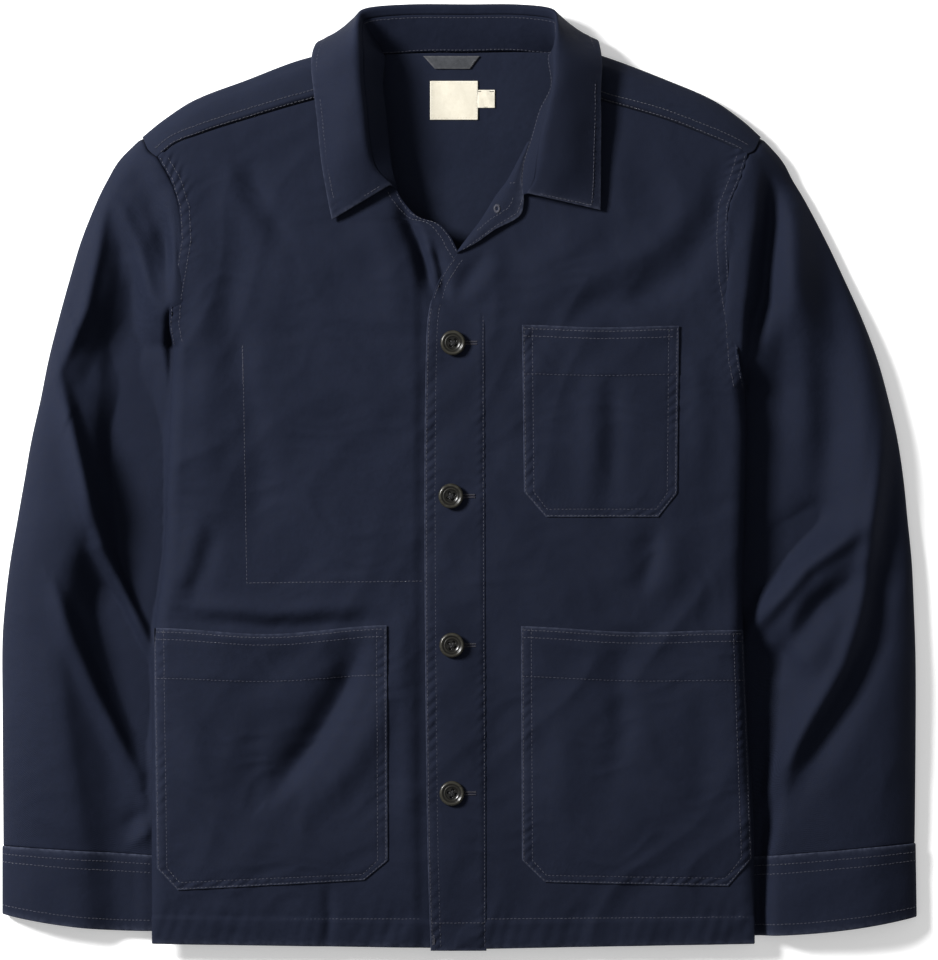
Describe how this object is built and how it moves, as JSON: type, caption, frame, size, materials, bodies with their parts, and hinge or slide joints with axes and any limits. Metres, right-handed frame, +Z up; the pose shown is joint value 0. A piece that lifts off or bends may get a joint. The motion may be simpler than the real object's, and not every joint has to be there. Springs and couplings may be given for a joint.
{
  "type": "chore jacket",
  "caption": "Button-front chore jacket laid flat, with turn-down collar, patch pockets with clipped corners and banded cuffs.",
  "frame": {"origin": "middle of the jacket's length and width, on the surface that it lies on", "axes": "+X to the viewer's right (the wearer's left), +Y along the jacket toward the collar, +Z up from the surface"},
  "size_m": [0.7329, 0.7571, 0.048],
  "materials": {
    "twill": "ink navy cotton twill, dry and matt with a faint nap, sewn with navy thread a little lighter than the cloth",
    "tape": "charcoal grey herringbone tape",
    "label_cloth": "cream woven label, blank",
    "button": "dark horn-look resin, softly polished, with a paler worn rim"
  },
  "bodies": {
    "root": {"back": "twill", "front_left": "twill", "front_right": "twill", "placket": "twill", "sleeve_left": "twill", "sleeve_right": "twill", "cuff_left": "twill", "cuff_right": "twill", "collar_stand": "twill", "collar_leaf": "twill", "chest_pocket": "twill", "pocket_left": "twill", "pocket_right": "twill", "hang_loop": "tape", "label": "label_cloth", "size_tag": "label_cloth", "button_1": "button", "button_2": "button", "button_3": "button", "button_4": "button"}
  },
  "joints": []
}
